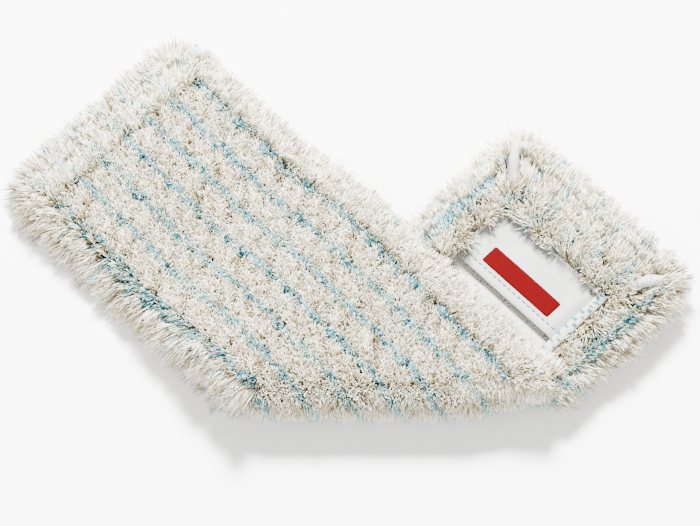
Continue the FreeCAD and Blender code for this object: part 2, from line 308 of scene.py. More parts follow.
def makeGroundMaterial(name, acrossAxis, middle):
    # gap: painted shade colour for the knit's hollows, also the colour the random wear darkens towards
    look = {"color": (0.64, 0.62, 0.56, 1), "gap": (0.42, 0.40, 0.35, 1), "stripe": (0.12, 0.24, 0.30, 1),
            "stripeWidth": 1.3 * mm, "dash": 4 * mm}
    material, tree, shader = newMaterial(name, 0.9, 0.15)
    place = objectPlace(tree)
    axes = splitAxes(tree, place)
    lengthAxis = "Y" if acrossAxis == "X" else "X"
    across = mathNode(tree, "SUBTRACT", axes[acrossAxis], middle)
    knit = addGroup(tree, "knit")
    tree.links.new(across, knit.inputs["Across"])
    tree.links.new(axes[lengthAxis], knit.inputs["Lengthways"])
    tree.links.new(place, knit.inputs["Place"])
    # the knit's low places take the darker gap colour: painted shade in the knit's hollows
    ground = mixColors(tree, knit.outputs["Height"], look["gap"], look["color"])
    worn = mixColors(tree, mathNode(tree, "MULTIPLY", knit.outputs["Wear"], 0.3), ground, look["gap"])
    near = mathNode(tree, "PINGPONG", mathNode(tree, "ABSOLUTE", across), rowPitch / 2)
    onRow = mathNode(tree, "LESS_THAN", near, look["stripeWidth"] / 2)
    step = mathNode(tree, "FRACT", mathNode(tree, "DIVIDE", axes[lengthAxis], look["dash"]))
    dashed = mathNode(tree, "MULTIPLY", onRow, mathNode(tree, "GREATER_THAN", step, 0.35))
    striped = mixColors(tree, mathNode(tree, "MULTIPLY", dashed, 0.75), worn, look["stripe"])
    tree.links.new(striped, shader.inputs["Base Color"])
    addBump(tree, shader, knit.outputs["Height"], 0.9, 0.5 * mm)
    return material


def makeStrapMaterial():
    look = {"color": (0.29, 0.295, 0.285, 1), "shade": (0.22, 0.225, 0.215, 1)}
    material, tree, shader = newMaterial("coatedFabric", 0.5, 0.1)
    place = objectPlace(tree)
    weave = addGroup(tree, "weave")
    tree.links.new(place, weave.inputs["Place"])
    cloud = mathNode(tree, "MULTIPLY", weave.outputs["Cloud"], 0.35)
    color = mixColors(tree, cloud, look["color"], look["shade"])
    tree.links.new(color, shader.inputs["Base Color"])
    rough = mathNode(tree, "ADD", mathNode(tree, "MULTIPLY", weave.outputs["Cloud"], 0.2), 0.38)
    tree.links.new(rough, shader.inputs["Roughness"])
    addBump(tree, shader, weave.outputs["Height"], 0.25, 0.1 * mm)
    return material


threadColors = {  # lit side, shaded side
    "sewingThread": ((0.25, 0.255, 0.25, 1), (0.18, 0.185, 0.18, 1)),
    "overlock": ((0.84, 0.83, 0.79, 1), (0.66, 0.63, 0.56, 1)),
    "speckThread": ((0.03, 0.28, 0.36, 1), (0.01, 0.12, 0.17, 1)),
    "seamWelt": ((0.84, 0.83, 0.79, 1), (0.62, 0.60, 0.54, 1)),
}


def makeThreadMaterial(name):
    material, tree, shader = newMaterial(name, 0.7, 0.3)
    twist = addGroup(tree, "twist")
    tree.links.new(objectPlace(tree), twist.inputs["Place"])
    color, shade = threadColors[name]
    tree.links.new(mixColors(tree, twist.outputs["Fuzz"], color, shade), shader.inputs["Base Color"])
    addBump(tree, shader, twist.outputs["Height"], 0.6, 0.2 * mm)
    return material


def makeLabelMaterial():
    look = {"color": (0.046, 0.0001, 0.0006, 1), "thread": (0.076, 0.0004, 0.0014, 1)}
    material, tree, shader = newMaterial("redLabel", 0.8, 0.0)
    shader.inputs["Specular IOR Level"].default_value = 0.03
    weave = addGroup(tree, "weave")
    tree.links.new(objectPlace(tree), weave.inputs["Place"])
    weave.inputs["Thread Pitch"].default_value = 0.5 * mm
    share = mathNode(tree, "MULTIPLY", mathNode(tree, "ABSOLUTE", weave.outputs["Height"]), 0.6)
    tree.links.new(mixColors(tree, share, look["color"], look["thread"]), shader.inputs["Base Color"])
    addBump(tree, shader, weave.outputs["Height"], 0.5, 0.12 * mm)
    return material


materials = {
    "creamYarn": makeYarnMaterial("creamYarn"),
    "blueYarn": makeYarnMaterial("blueYarn"),
    "mainGround": makeGroundMaterial("mainGround", "Y", midY),
    "flapGround": makeGroundMaterial("flapGround", "X", flapX),
    "coatedFabric": makeStrapMaterial(),
    "sewingThread": makeThreadMaterial("sewingThread"),
    "overlock": makeThreadMaterial("overlock"),
    "speckThread": makeThreadMaterial("speckThread"),
    "seamWelt": makeThreadMaterial("seamWelt"),
    "redLabel": makeLabelMaterial(),
}


# ---- mesh helpers ----

def newPiece(name, points, faces, material, shade=True):
    mesh = bpy.data.meshes.new(name)
    mesh.from_pydata([tuple(point) for point in points], [], faces)
    mesh.materials.append(material)
    if shade:
        mesh.shade_smooth()
    mesh.update()
    piece = bpy.data.objects.new(name, mesh)
    scene.collection.objects.link(piece)
    return piece


def finishPiece(piece, node, body):
    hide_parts(node)
    if body:
        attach(piece, body)
    return piece


bodyOf = {"main": "main_panel", "flap": "end_flap"}
fibreSides = 3
fibreSteps = 3
fibreTaper = np.array([0.7, 1.0, 0.95, 0.5])  # width from the root to the blunt tip


def buildFibres(name, paths, radii, blueShare, tone, rng):
    # paths: fibre, step, xyz. Each fibre is a closed three-sided yarn end along its path.
    count, steps = paths.shape[:2]
    tangent = np.gradient(paths, axis=1)
    tangent /= np.linalg.norm(tangent, axis=2, keepdims=True) + 1e-12
    side = np.cross(tangent, rng.normal(size=(count, 1, 3)))
    side /= np.linalg.norm(side, axis=2, keepdims=True) + 1e-12
    other = np.cross(tangent, side)
    width = radii[:, None] * fibreTaper[None]
    angles = np.arange(fibreSides) * 2 * math.pi / fibreSides
    ring = (np.cos(angles)[None, None, :, None] * side[:, :, None, :]
            + np.sin(angles)[None, None, :, None] * other[:, :, None, :])
    vertices = paths[:, :, None, :] + ring * width[:, :, None, None]
    perFibre = steps * fibreSides
    quads = []
    for step in range(steps - 1):
        for corner in range(fibreSides):
            after = (corner + 1) % fibreSides
            low = step * fibreSides
            high = low + fibreSides
            quads.append((low + corner, low + after, high + after, high + corner))
    last = (steps - 1) * fibreSides
    quads = np.array(quads)
    triangles = np.array([(last, last + 1, last + 2), (2, 1, 0)])
    start = np.arange(count) * perFibre
    quadLoops = (start[:, None, None] + quads[None]).reshape(count, -1)
    triangleLoops = (start[:, None, None] + triangles[None]).reshape(count, -1)
    loops = np.concatenate([quadLoops, triangleLoops], axis=1).reshape(-1)
    sizes = np.concatenate([np.full(len(quads), 4), np.full(len(triangles), 3)])
    starts = np.concatenate([[0], np.cumsum(np.tile(sizes, count))[:-1]])
    mesh = bpy.data.meshes.new(name)
    mesh.vertices.add(count * perFibre)
    mesh.vertices.foreach_set("co", vertices.reshape(-1).astype(np.float32))
    mesh.loops.add(len(loops))
    mesh.loops.foreach_set("vertex_index", loops.astype(np.int32))
    mesh.polygons.add(len(sizes) * count)
    mesh.polygons.foreach_set("loop_start", starts.astype(np.int32))
    mesh.materials.append(materials["creamYarn"])
    mesh.materials.append(materials["blueYarn"])
    isBlue = (rng.random(count) < blueShare).astype(np.int32)
    mesh.polygons.foreach_set("material_index", np.repeat(isBlue, len(sizes)))
    mesh.update(calc_edges=True)
    mesh.shade_smooth()
    level = np.repeat(np.linspace(0, 1, steps), fibreSides)
    # tint: each fibre's random tone plus, on the rim pile, painted shade between the tufts
    tint = np.repeat(np.clip(rng.random(count) + tone, 0, 1), perFibre)
    for label, values in (("along", np.tile(level, count)), ("tint", tint)):
        attribute = mesh.attributes.new(label, "FLOAT", "POINT")
        attribute.data.foreach_set("value", values.astype(np.float32))
    piece = bpy.data.objects.new(name, mesh)
    scene.collection.objects.link(piece)
    return piece


def fibrePiece(name, node, body, fibres):
    finishPiece(buildFibres(name, *fibres), node, body)


def growPaths(roots, directions, lengths, sag, curl, kink, rng):
    # fibres in an end's flat frame: sag pulls the tip towards -h, curl throws it sideways, kink crimps it
    count = len(roots)
    directions = directions / np.linalg.norm(directions, axis=1, keepdims=True)
    along = np.linspace(0, 1, fibreSteps + 1)
    throw = rng.normal(size=(count, 3)) * curl
    bent = directions[:, None, :] * along[None, :, None] + throw[:, None, :] * (along ** 2)[None, :, None]
    bent[..., 2] -= sag * (along ** 2)[None]
    paths = roots[:, None, :] + bent * lengths[:, None, None]
    paths[:, 1:] += rng.normal(size=(count, fibreSteps, 3)) * kink
    return paths


def hashed(cell):  # four steady values from -1 to 1 for each whole-number cell
    mixed = (cell[:, 0] * 73856093 + cell[:, 1] * 19349663).astype(np.int64) % 99991
    return [np.sin(mixed * factor) for factor in (12.9898, 78.233, 37.719, 4.581)]


def tufted(spots, clump, pull):
    # gathers fibre roots into tufts: returns the moved roots, each one's offset and its tuft's own values
    cell = np.round(spots / clump)
    values = hashed(cell)
    centre = cell * clump + np.stack(values[:2], 1) * 0.3 * clump
    offset = spots - centre
    return centre + offset * pull, offset / clump, values


rowPile = {
    "density": 1.6,  # fibres per square millimetre
    "hiddenDensity": 1.0,
    "length": 9.0 * mm,
    "radius": 0.46 * mm,
    "clump": 2.6 * mm,
    "splay": 0.55,
    "lean": 0.3,
    "kink": 0.42 * mm,
    "blueSplay": 0.65,  # blue rows stand straighter
    "drift": 12 * mm,  # the rows slide towards the front by this much at the fold
}


rowsPerEnd = 7
outerRow = rowPitch * (rowsPerEnd - 2) / 2  # rows past this distance from the middle are the outer ones


def rowDrift(end, u):
    if end == "flap":
        return 0 * u
    return -rowPile["drift"] * np.clip((u - endRoll) / (runs[end] - endRoll), 0, 1.2) ** 1.15


def overEdge(s):
    # wraps the width round the cloth's edge: returns v, how far the root drops and the lean outwards
    straight = halfCloth - 2 * mm
    past = np.clip(np.abs(s) - straight, 0, None)
    turn = np.clip(past / (6 * mm), 0, 1.6)
    v = np.sign(s) * (np.minimum(np.abs(s), straight) + np.sin(turn) * 6 * mm)
    return v, (1 - np.cos(turn)) * 6 * mm, np.sign(s) * np.sin(turn)


def clearFold(end, paths):  # the pile bends back where it would reach far past the fold
    past = np.clip(paths[..., 0] - paths[..., 1] - runs[end] - drape["overFold"], 0, None) / 2
    paths[..., 0] -= past
    paths[..., 1] += past
    return paths


def rowFibres(end, low, high, blue, seed):
    # upright pile of one yarn row on the face
    rng = np.random.default_rng(seed)
    start = endRoll
    stop = runs[end] + high
    density = rowPile["density"] if end == "main" else rowPile["hiddenDensity"]
    count = int((stop - start) * (high - low) / mm ** 2 * density)
    u = rng.uniform(start, stop, count)
    v = rng.uniform(low, high, count)
    spots, offset, values = tufted(np.stack([u, v], 1), rowPile["clump"], 0.7)
    u, v = spots[:, 0], spots[:, 1]
    if blue:
        v = np.clip(v, low, high)
    wander = 0.9 * mm * softNoise(u, 0, 24 * mm, 2.0)
    v, drop, turned = overEdge(v + wander + rowDrift(end, u))
    keep = u < runs[end] + v
    u, v, drop, turned, offset = u[keep], v[keep], drop[keep], turned[keep], offset[keep]
    values = [value[keep] for value in values]
    roots = np.stack([u, v, clothHigh - drop], 1)
    spread = rowPile["splay"] * (rowPile["blueSplay"] if blue else 1)
    lean = rowPile["lean"] * (rowPile["blueSplay"] if blue else 1)
    push = rng.normal(size=(len(u), 2)) * 0.16
    directions = np.stack([
        offset[:, 0] * spread + values[2] * lean + push[:, 0] - 0.08,
        offset[:, 1] * spread + values[3] * lean + push[:, 1] + turned * 1.0,
        np.ones(len(u)) - 0.6 * np.abs(turned),
    ], 1)
    swell = 1 + 0.12 * softNoise(u, v, 17 * mm, 5.0) + 0.1 * softNoise(u, v, 6 * mm, 9.0)
    crease = 1 - 0.14 * np.exp(-((u - endRoll) / (7 * mm)) ** 2)
    lengths = rowPile["length"] * swell * crease * rng.uniform(0.7, 1.08, len(u))
    if blue and low < -outerRow:
        lengths *= 1.2
    lengths *= 1 + 0.5 * np.abs(turned)
    paths = clearFold(end, growPaths(roots, directions, lengths, 0.0, 0.1, rowPile["kink"], rng))
    radii = rowPile["radius"] * rng.uniform(0.75, 1.2, len(u))
    patchy = 0.9 + 0.2 * softNoise(u, low, 8 * mm, 3.0)
    if low > outerRow:
        patchy = 0.62 + 0.5 * softNoise(u, low, 7 * mm, 1.0)
    if blue and low < -outerRow:  # the front row sinks in the crease until it drifts over the edge
        patchy = patchy * (0.55 + 0.2 * smooth((u - 70 * mm) / (60 * mm)))
    share = patchy if blue else np.full(len(u), 0.006)
    tone = 0.34 * values[1] + 0.2 * softNoise(u, v, 5 * mm, 4.0)
    if blue:
        tone = 0.5 * smooth(softNoise(u, low, 5 * mm, 6.0) * 3 - 0.4) + 0.02
    return toRow(end, paths), radii, share, tone, rng


def makeRows(end):
    seed = 100 if end == "main" else 200
    first = -(rowsPerEnd // 2)
    for number in range(rowsPerEnd):
        middle = rowPitch * (first + number)
        blueLow = middle - blueWidth / 2
        blueHigh = middle + blueWidth / 2
        fibres = rowFibres(end, blueLow, blueHigh, True, seed + number)
        place = (end, number + 1)
        fibrePiece("%sBlueRow%d" % place, "%s_blue_row_%d" % place, bodyOf[end], fibres)
        if number == rowsPerEnd - 1:
            break
        fibres = rowFibres(end, blueHigh, blueLow + rowPitch, False, seed + 50 + number)
        fibrePiece("%sCreamRow%d" % place, "%s_cream_row_%d" % place, bodyOf[end], fibres)


rimPile = {
    "spacing": 3.3 * mm,  # tufts along an edge
    "levels": 6,  # tufts round the edge
    "perTuft": 21,
    "tuftRadius": 1.45 * mm,
    "fan": 0.14,  # how far a tuft opens towards its tips
    "faceBias": {"main": 0.85, "flap": 1.18},  # more tufts on the side that is seen
    "hang": 0.75,  # the underside fibres grow this much longer where the long end lifts off the floor
    "fringeLength": {"main": 22 * mm, "flap": 19 * mm},
    "backDensity": 1.5,
    "hiddenDensity": 0.4,
    "backLength": 15 * mm,
    "rollLength": 13 * mm,
    "rollDensity": 1.9,
    "radius": 0.45 * mm,
    "kink": 0.16 * mm,
    "edgeRadius": 3.4 * mm,  # the face fabric turns round the edge at this radius
    "cornerRadius": 7 * mm,
    "clump": 4.6 * mm,
    "backStripes": {1: 57.5 * mm, -1: 58 * mm},  # the rim's own blue row, from the middle of the cover
    "backStripeWidth": 7 * mm,
    "innerLean": {1: -0.45, -1: 0.45},  # the inner fibres fall over the pocket strap
    "combed": {1: 0.1, -1: 0.45},
    "overReach": 8 * mm,
    "thinning": {  # share of its length that a side's fringe loses, and from where along the side
        ("flap", -1): (0.2, 60 * mm),
        ("main", 1): (0.26, 170 * mm),
        ("main", -1): (0.04, 150 * mm),
    },
}
edgeLevel = (clothHigh + clothLow) / 2 - 2 * mm


def nearRow(across):  # 1 on a blue row, 0 between the rows
    gap = np.abs((across + rowPitch / 2) % rowPitch - rowPitch / 2)
    return (gap < blueWidth * 0.55).astype(float)


def spaced(start, stop, count, rng):  # evenly spread values with a little disorder
    return start + (stop - start) * (np.arange(count) + rng.random(count)) / count


def fringeFibres(end, base, outward, rng, blueAt, scale, blueTop, topSide=1):
    # tufts of long fibres that fan round the edge; base and outward are plan points and plan directions
    tufts = len(base)
    each = rimPile["perTuft"]
    quantile = (np.arange(tufts) * 0.618034 + rng.uniform(0, 0.06, tufts)) % 1  # even cover, no bare spots
    around = (quantile ** rimPile["faceBias"][end] - 0.5) * math.pi * 0.97
    reach = rimPile["edgeRadius"]
    sideways = np.stack([-outward[:, 1], outward[:, 0]], 1)
    tilt = around * 0.8 + rng.normal(0, 0.12, tufts)
    wave = 0.2 * softNoise(base[:, 0], base[:, 1], 11 * mm, 3.0) + rng.normal(0, 0.16, tufts)
    size = rimPile["fringeLength"][end] * scale * (0.6 + 0.4 * np.cos(around - 0.2) ** 2)
    size = size * rng.uniform(0.86, 1.1, tufts)
    if end == "main":
        lifted = smooth((base[:, 0] - drape["rampFrom"]) / (drape["rampTo"] - drape["rampFrom"]))
        lifted = lifted * smooth((runs["main"] - halfCloth - base[:, 0]) / (14 * mm) + 0.2)  # not at the fold
        size = size * (1 + rimPile["hang"] * lifted * (around < -0.35))
        tilt = tilt - 0.6 * lifted * (around < -0.35)
    overlap = around * topSide > 0.85  # the outer yarn row spills over the edge here
    size = size * (1 - 0.35 * blueTop * overlap)

    def spread(values):
        return np.repeat(values, each, axis=0)

    count = tufts * each
    ring = rimPile["tuftRadius"] * np.sqrt(rng.random(count))
    spin = rng.uniform(0, 2 * math.pi, count)
    shiftSide = np.cos(spin) * ring
    shiftUp = np.sin(spin) * ring
    centre = spread(base) + spread(outward) * (np.cos(spread(around)) * reach)[:, None]
    plan = centre + spread(sideways) * shiftSide[:, None]
    roots = np.stack([plan[:, 0], plan[:, 1], edgeLevel + np.sin(spread(around)) * reach + shiftUp], 1)
    fan = rimPile["fan"] / rimPile["tuftRadius"]
    flat = spread(outward) * np.cos(spread(tilt))[:, None]
    flat = flat + spread(sideways) * (spread(wave) + shiftSide * fan + rng.normal(0, 0.06, count))[:, None]
    up = np.sin(spread(tilt)) + shiftUp * fan + rng.normal(0, 0.06, count)
    directions = np.stack([flat[:, 0], flat[:, 1], up], 1)
    lengths = spread(size) * rng.uniform(0.8, 1.05, count)
    paths = growPaths(roots, directions, lengths, 0.13, 0.05, rimPile["kink"], rng)
    radii = rimPile["radius"] * rng.uniform(0.8, 1.25, count)
    # fibres towards a tuft's edge get a deeper tone: painted shade between the tufts, added to each tuft's
    # random tone
    tone = spread(rng.normal(0, 0.14, tufts)) + 0.3 * (ring / rimPile["tuftRadius"] - 0.6)
    tone = tone + 0.4 * spread(blueTop * overlap)
    share = blueAt + blueTop * overlap
    return paths, radii, spread(share), tone


seamLook = {
    "inFromEnd": 25 * mm,
    "inFromSide": 20 * mm,
    "length": 34 * mm,
    "angle": math.radians(51),
    "radius": 3.2 * mm,
    "thread": 0.45 * mm,
    "pitch": 0.95 * mm,
    "levels": {1: -7.5 * mm, -1: -2 * mm},  # height of each welt's middle; minus is outwards
    "dip": 6 * mm,
}


def besideSeam(u, v):  # true where the pile leaves the corner seams free
    along = np.array([math.sin(seamLook["angle"]), -math.cos(seamLook["angle"])])
    fromMiddle = np.stack([u - seamLook["inFromEnd"], np.abs(v) - (halfCover - seamLook["inFromSide"])], 1)
    lengthways = np.abs(fromMiddle @ along)
    across = np.abs(fromMiddle @ np.array([-along[1], along[0]]))
    return (across > seamLook["radius"] + 0.1 * mm) | (lengthways > seamLook["length"] / 2)


def backFibres(u, v, outward, rng):
    # turned-over pile on the back: it points away from the ground cloth and leans outwards
    spots, offset, values = tufted(np.stack([u, v], 1), rimPile["clump"], 0.62)
    count = len(u)
    roots = np.stack([spots[:, 0], spots[:, 1], np.full(count, clothLow - 2.2 * mm)], 1)
    push = rng.normal(size=(count, 2)) * 0.13
    directions = np.stack([
        offset[:, 0] * 0.85 + values[2] * 0.45 + push[:, 0] + outward[:, 0],
        offset[:, 1] * 0.85 + values[3] * 0.45 + push[:, 1] + outward[:, 1],
        -np.full(count, 0.95),
    ], 1)
    lengths = rimPile["backLength"] * rng.uniform(0.72, 1.08, count) * (1 + 0.14 * values[0])
    paths = growPaths(roots, directions, lengths, -0.05, 0.09, rimPile["kink"], rng)
    radii = rimPile["radius"] * rng.uniform(0.8, 1.25, count)
    # fibres away from a tuft's middle get a deeper tone: painted shade between the tufts, added to each
    # tuft's random tone
    tone = 0.16 * values[1] + 0.45 * (np.hypot(offset[:, 0], offset[:, 1]) - 0.3)
    return paths, radii, tone


def joinSets(sets):
    return [np.concatenate([part[index] for part in sets]) for index in range(4)]


def rimPiece(end, name, sets, rng):
    paths, radii, share, tone = joinSets(sets)
    fibres = (toRow(end, paths), radii, share, tone, rng)
    pieceName = "%s%sRim" % (end, name.capitalize())
    fibrePiece(pieceName, "%s_%s_rim" % (end, name), bodyOf[end], fibres)


def rearMargin(end, rng):
    # plain pile between the last row and the rear edge, which widens towards the fold
    edge = halfCloth + 0.5 * mm
    area = (runs[end] + halfCloth - endRoll) * (rowPile["drift"] + 4 * mm)
    count = int(area / mm ** 2 * rowPile["density"])
    u = rng.uniform(endRoll, runs[end] + halfCloth, count)
    v = rng.uniform(edge - rowPile["drift"] - 3 * mm, edge, count)
    last = rowPitch * (rowsPerEnd // 2) + blueWidth / 2 + rowDrift(end, u)
    keep = (v > last) & (u < runs[end] + v)
    spots, offset, values = tufted(np.stack([u[keep], v[keep]], 1), rowPile["clump"], 0.65)
    u, v = spots[:, 0], spots[:, 1]
    count = len(u)
    roots = np.stack([u, v, np.full(count, clothHigh)], 1)
    over = np.exp(-((runs[end] + v - u) / rimPile["overReach"]) ** 2)  # leans over the fold beside it
    directions = np.stack([
        0.35 + 0.55 * over + offset[:, 0] * 0.5 + values[2] * 0.3 + rng.normal(0, 0.12, count),
        0.45 - 0.7 * over + offset[:, 1] * 0.5 + values[3] * 0.3 + rng.normal(0, 0.12, count),
        np.ones(count),
    ], 1)
    lengths = (rowPile["length"] + 3.5 * mm + 1.5 * mm * over) * rng.uniform(0.7, 1.05, count)
    paths = growPaths(roots, directions, lengths, 0.05, 0.08, rimPile["kink"], rng)
    radii = rimPile["radius"] * rng.uniform(0.8, 1.2, count)
    return paths, radii, np.full(count, 0.01), 0.15 * values[1]


def makeSideRim(end, side, name, seed):
    rng = np.random.default_rng(seed)
    start = 24 * mm
    stop = runs[end] + side * halfCloth
    count = int((stop - start) / rimPile["spacing"] * rimPile["levels"])
    base = np.stack([spaced(start, stop, count, rng), np.full(count, side * (halfCloth - 1 * mm))], 1)
    blue = np.where(rng.random(count) < 0.02, 0.5, 0.004)
    scale = 1.12 if side < 0 else 0.9
    outwards = np.tile([0.0, float(side)], (count, 1))
    if (end, side) in rimPile["thinning"]:
        loss, since = rimPile["thinning"][end, side]
        scale = scale * (1 - loss * smooth((base[:, 0] - since) / (50 * mm)))
    spill = 0.75 * smooth((base[:, 0] - 60 * mm) / (60 * mm)) if end == "main" and side < 0 else 0.0
    topSide = 1
    if end == "flap" and side < 0:
        spill, topSide = 0.5, -1
    sets = [fringeFibres(end, base, outwards, rng, blue, scale, spill, topSide)]
    outer = halfCloth - 1 * mm
    start = endTurn - 8 * mm
    stop = runs[end] + side * turnInner + 12 * mm
    density = rimPile["backDensity"] if end == "flap" else rimPile["hiddenDensity"]
    count = int((stop - start) * (outer - turnInner) / mm ** 2 * density)
    u = rng.uniform(start, stop, count)
    inner = turnInner + (1 * mm if end == "flap" and side < 0 else 0)
    across = rng.uniform(inner, outer, count)
    v = side * across
    keep = (u < runs[end] + v) & (u > endTurn - (across - turnInner)) & besideSeam(u, v)
    u, v, across = u[keep], v[keep], across[keep]
    lean = rimPile["innerLean"][side] + 1.7 * (across - turnInner) / (outer - turnInner)
    paths, radii, tone = backFibres(u, v, np.stack([0 * u + rimPile["combed"][side], side * lean], 1), rng)
    onStripe = np.abs(across - rimPile["backStripes"][side]) < rimPile["backStripeWidth"] / 2
    patchy = 0.72 + 0.3 * softNoise(u, v, 8 * mm, 2.0)
    sets.append((paths, radii, onStripe * patchy + 0.01, tone))
    if end == "main" and side > 0:
        sets.append(rearMargin(end, rng))
    rimPiece(end, name, sets, rng)


def makeEndRim(end, seed):
    rng = np.random.default_rng(seed)
    corner = rimPile["cornerRadius"]
    edgeU = 18 * mm
    straight = halfCloth - 1 * mm - corner
    sets = []
    count = int(straight * 2 / rimPile["spacing"] * rimPile["levels"])
    v = spaced(-straight, straight, count, rng)
    base = np.stack([np.full(count, edgeU), v], 1)
    outward = np.tile([-1.0, 0.0], (count, 1))
    sets.append(fringeFibres(end, base, outward, rng, nearRow(v) * 0.4 + 0.01, 0.92, 0.0))
    for side in (-1, 1):
        count = int(corner * math.pi / 2 / rimPile["spacing"] * rimPile["levels"] * 2.6)
        turn = spaced(0, math.pi / 2, count, rng)
        outward = np.stack([-np.cos(turn), side * np.sin(turn)], 1)
        base = np.array([edgeU + corner, side * straight]) + outward * corner
        sets.append(fringeFibres(end, base, outward, rng, np.full(count, 0.03), 1.0, 0.0))
    # the raised roll on the face
    count = int((endRoll - edgeU) * 2 * halfCloth / mm ** 2 * rimPile["rollDensity"])
    u = rng.uniform(edgeU, endRoll - 0.3 * mm, count)
    v = rng.uniform(-halfCloth + 1 * mm, halfCloth - 1 * mm, count)
    spots, offset, values = tufted(np.stack([u, v], 1), rimPile["clump"], 0.65)
    roots = np.stack([spots[:, 0], spots[:, 1], np.full(count, clothHigh)], 1)
    outwards = -0.15 - 0.75 * (endRoll - u) / (endRoll - edgeU)
    directions = np.stack([
        outwards + offset[:, 0] * 0.5 + values[2] * 0.3 + rng.normal(0, 0.12, count),
        offset[:, 1] * 0.5 + values[3] * 0.4 + rng.normal(0, 0.12, count) + 0.3 * v / halfCloth,
        np.ones(count),
    ], 1)
    lengths = rimPile["rollLength"] * rng.uniform(0.75, 1.05, count) * (1 + 0.1 * values[1])
    paths = growPaths(roots, directions, lengths, 0.05, 0.08, rimPile["kink"], rng)
    radii = rimPile["radius"] * rng.uniform(0.8, 1.2, count)
    sets.append((paths, radii, nearRow(v) * 0.45 + 0.01, 0.14 * values[0]))
    # the turned-over back
    density = rimPile["backDensity"] if end == "flap" else rimPile["hiddenDensity"]
    count = int((endTurn - edgeU) * 2 * halfCloth / mm ** 2 * density)
    u = rng.uniform(edgeU, endTurn, count)
    v = rng.uniform(-halfCloth + 1 * mm, halfCloth - 1 * mm, count)
    keep = (u < endTurn - (np.abs(v) - turnInner)) & besideSeam(u, v)
    u, v = u[keep], v[keep]
    lean = -0.25 + 1.7 * (endTurn - u) / (endTurn - edgeU)
    paths, radii, tone = backFibres(u, v, np.stack([-lean, 0.9 * (v / halfCloth) ** 3], 1), rng)
    sets.append((paths, radii, nearRow(v) * 0.5 + 0.01, tone))
    rimPiece(end, "end", sets, rng)


foldPile = {
    "perMm": 62,  # fibres per millimetre of fold line
    "rootRadius": 10 * mm,
    "length": 7.0 * mm,
    "radius": 0.4 * mm,
    "tuck": 6 * mm,
    "cornerGap": 3 * mm,
    "spillFrom": 14 * mm,  # from here to the rear corner long pile falls over the fold
    "spillDepth": 9 * mm,
    "spillDensity": 2.2,
    "spillLength": 15 * mm,
}


def spillFibres(rng):
    outer = halfCloth - 1 * mm
    area = (outer - foldPile["spillFrom"]) * math.sqrt(2) * foldPile["spillDepth"]
    count = int(area / mm ** 2 * foldPile["spillDensity"])
    across = rng.uniform(foldPile["spillFrom"], outer, count)
    inwards = rng.uniform(-1 * mm, foldPile["spillDepth"], count) / math.sqrt(2)
    level = clothHigh + layerRise - 0.6 * mm * (inwards < 0)
    roots = np.stack([flapX + across - inwards, midY + across + inwards, level], 1)
    directions = np.stack([
        0.7 + rng.normal(0, 0.2, count),
        -0.55 + rng.normal(0, 0.2, count),
        0.75 + rng.normal(0, 0.12, count),
    ], 1)
    lengths = foldPile["spillLength"] * rng.uniform(0.65, 1.05, count)
    lengths *= smooth((across - foldPile["spillFrom"]) / (12 * mm)) * 0.5 + 0.5
    paths = growPaths(roots, directions, lengths, 0.5, 0.1, rimPile["kink"], rng)
    radii = rimPile["radius"] * rng.uniform(0.75, 1.15, count)
    return paths, radii, np.full(count, 0.01), 0.2 * softNoise(across, inwards, 4 * mm, 3.0)


def makeFoldPile():
    rng = np.random.default_rng(400)
    outer = halfCover - foldPile["cornerGap"]
    count = int(outer * 2 * math.sqrt(2) / mm * foldPile["perMm"])
    across = rng.uniform(-outer, outer, count)
    around = rng.uniform(0, math.pi, count)  # 0 on the long end, pi on the folded end
    reach = foldPile["rootRadius"]
    normal = np.array([1.0, -1.0]) / math.sqrt(2)
    tilt = around + rng.normal(0, 0.2, count)
    wave = rng.normal(0, 0.22, count) + 0.25 * softNoise(across, around * 9 * mm, 8 * mm, 4.0)
    narrow = np.clip((halfCloth - np.abs(across)) / (8 * mm), -1, 0) + 1  # the fold closes at its two corners
    tucked = smooth((across - 22 * mm) / (38 * mm))  # the rear corner is drawn in under the long end
    reach = reach * (0.25 + 0.75 * narrow)
    side = np.sin(around) * reach - tucked * foldPile["tuck"]
    roots = np.stack([
        flapX + across + normal[0] * side,
        midY + across + normal[1] * side,
        foldLevel + np.cos(around) * reach,
    ], 1)
    plan = normal[None] * np.sin(tilt)[:, None] + np.array([[1.0, 1.0]]) / math.sqrt(2) * wave[:, None]
    corner = np.clip((np.abs(across) - halfCloth) / (halfCover - halfCloth), 0, 1) * np.sign(across)
    plan = plan + np.array([[1.0, 1.0]]) / math.sqrt(2) * corner[:, None] * 0.6
    directions = np.stack([plan[:, 0], plan[:, 1], np.cos(tilt)], 1)
    lengths = foldPile["length"] * rng.uniform(0.75, 1.2, count)
    lengths = lengths * (1 + 0.2 * np.sin(around)) * (1 - 0.3 * tucked)
    paths = growPaths(roots, directions, lengths, 0.14, 0.1, 0.3 * mm, rng)
    paths[..., 2] = np.clip(paths[..., 2], drape["floorSkim"], None)
    radii = foldPile["radius"] * rng.uniform(0.75, 1.2, count)
    stripeShift = rowDrift("main", runs["main"] + across)
    share = nearRow(across - stripeShift - around * foldPile["rootRadius"] / math.sqrt(2)) * 0.6 + 0.01
    tone = 0.2 * softNoise(across, around * 9 * mm, 4 * mm, 3.0)
    paths, radii, share, tone = joinSets([(paths, radii, share, tone), spillFibres(rng)])
    piece = buildFibres("foldPile", paths, radii, share, tone, rng)
    finishPiece(piece, "fold_pile", None)
    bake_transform(piece)


# ---- cloth ----

def gridFaces(rows, columns, offset=0, flip=False):
    faces = []
    for row in range(rows - 1):
        for column in range(columns - 1):
            a = offset + row * columns + column
            face = (a, a + 1, a + columns + 1, a + columns)
            faces.append(face[::-1] if flip else face)
    return faces


